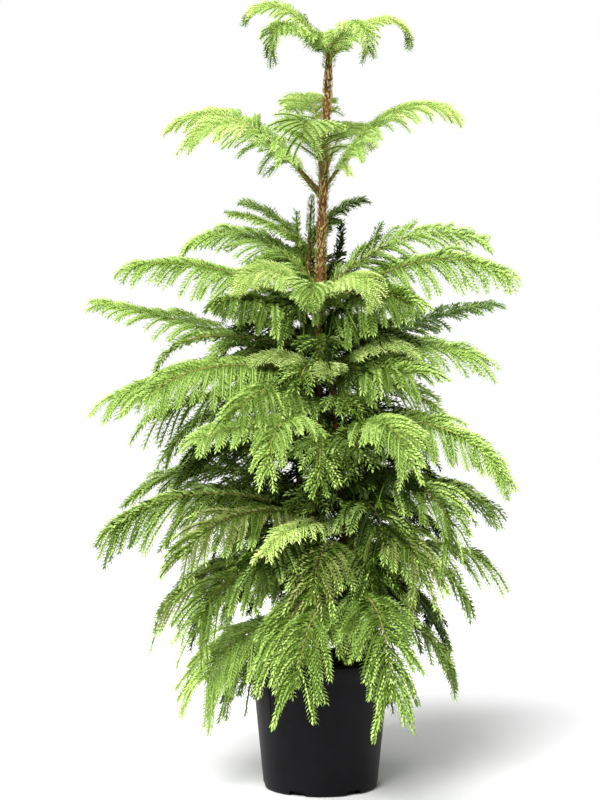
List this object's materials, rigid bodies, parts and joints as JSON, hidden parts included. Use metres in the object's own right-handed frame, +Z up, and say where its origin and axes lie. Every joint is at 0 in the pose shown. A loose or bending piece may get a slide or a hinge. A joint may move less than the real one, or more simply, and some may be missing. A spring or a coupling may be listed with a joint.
{
  "type": "potted norfolk island pine",
  "caption": "Potted conifer: a clump of slim stems ringed by whorls of arching, drooping boughs with soft needled twigs, in a plain tapered nursery pot.",
  "frame": {"origin": "centre of the pot's flat underside", "axes": "+Z up along the pot's axis toward the crown's top; -Y toward the viewer of the picture, +X to the viewer's right"},
  "size_m": [0.7849, 0.7216, 1.4296],
  "materials": {
    "pot": "satin",
    "soil": "matte",
    "bark": "matte",
    "foliage": "matte"
  },
  "bodies": {
    "root": {"pot": "pot", "soil": "soil", "trunk": "bark", "stem_back": "bark", "stem_front": "bark", "stem_right": "bark", "bough_second_1": "bark", "bough_second_2": "bark", "bough_second_3": "bark", "bough_second_4": "bark", "bough_second_5": "bark", "bough_second_6": "bark", "tuft_back": "foliage", "tuft_front": "foliage", "tuft_right": "foliage", "tuft_top": "foliage", "spray_fifth_1": "foliage", "spray_fifth_2": "foliage", "spray_fifth_3": "foliage", "spray_fourth_1": "foliage", "spray_fourth_2": "foliage", "spray_fourth_3": "foliage", "spray_fourth_4": "foliage", "spray_fourth_5": "foliage", "spray_fourth_6": "foliage", "spray_front_fifth_1": "foliage", "spray_front_fifth_2": "foliage", "spray_lowest_1": "foliage", "spray_lowest_2": "foliage", "spray_lowest_3": "foliage", "spray_lowest_4": "foliage", "spray_right_fifth_1": "foliage", "spray_right_lowest_1": "foliage", "spray_right_lowest_2": "foliage", "spray_right_lowest_3": "foliage", "spray_right_seventh_1": "foliage", "spray_right_seventh_2": "foliage", "spray_right_sixth_1": "foliage", "spray_right_sixth_low_1": "foliage", "spray_second_1": "foliage", "spray_second_2": "foliage", "spray_second_3": "foliage", "spray_second_4": "foliage", "spray_second_5": "foliage", "spray_second_6": "foliage", "spray_seventh_1": "foliage", "spray_seventh_2": "foliage", "spray_seventh_3": "foliage", "spray_seventh_4": "foliage", "spray_seventh_5": "foliage", "spray_sixth_1": "foliage", "spray_sixth_2": "foliage", "spray_sixth_3": "foliage", "spray_sixth_4": "foliage", "spray_sixth_5": "foliage", "spray_third_1": "foliage", "spray_third_2": "foliage", "spray_third_3": "foliage", "spray_third_low_1": "foliage", "spray_third_low_2": "foliage"}
  },
  "joints": []
}
